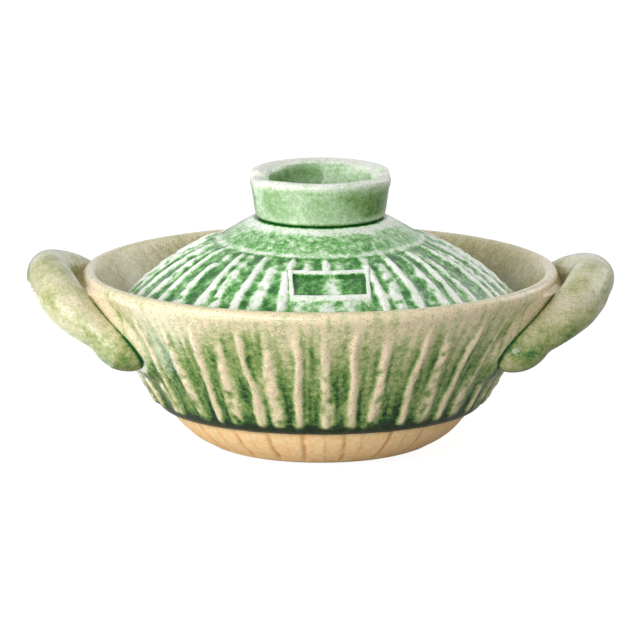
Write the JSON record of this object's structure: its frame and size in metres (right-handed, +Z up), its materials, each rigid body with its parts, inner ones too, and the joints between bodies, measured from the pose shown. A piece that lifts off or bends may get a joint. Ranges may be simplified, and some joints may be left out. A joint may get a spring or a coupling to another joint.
{
  "type": "lidded clay cooking pot",
  "caption": "Clay hot pot: thick flared bowl with rope loop handles on its sides, a ridged dome lid with a ring knob, green glaze above a bare clay base.",
  "frame": {"origin": "centre of the foot, on the surface that the pot stands on", "axes": "+Z up along the pot's axis, +X through the right handle, -Y towards the front, where the lid's panel faces"},
  "size_m": [0.298, 0.24, 0.143],
  "materials": {
    "bowl_clay": "glazed stoneware, tan at the rim running to deep green, bare clay under the glaze line",
    "handle_clay": "glossy mottled olive glaze over stoneware",
    "lid_clay": "glossy green glaze, pooled in the grooves and white on the ridges",
    "knob_clay": "glossy pale green glaze, white where it breaks over the lip"
  },
  "bodies": {
    "pot": {"pot_bowl": "bowl_clay", "handle_left": "handle_clay", "handle_right": "handle_clay"},
    "lid": {"lid": "lid_clay", "lid_knob": "knob_clay"}
  },
  "joints": [
    {"name": "lid_lift", "type": "slide", "parent": "pot", "child": "lid", "axis": [0, 0, 1], "range_m": [0, 0.16]}
  ]
}
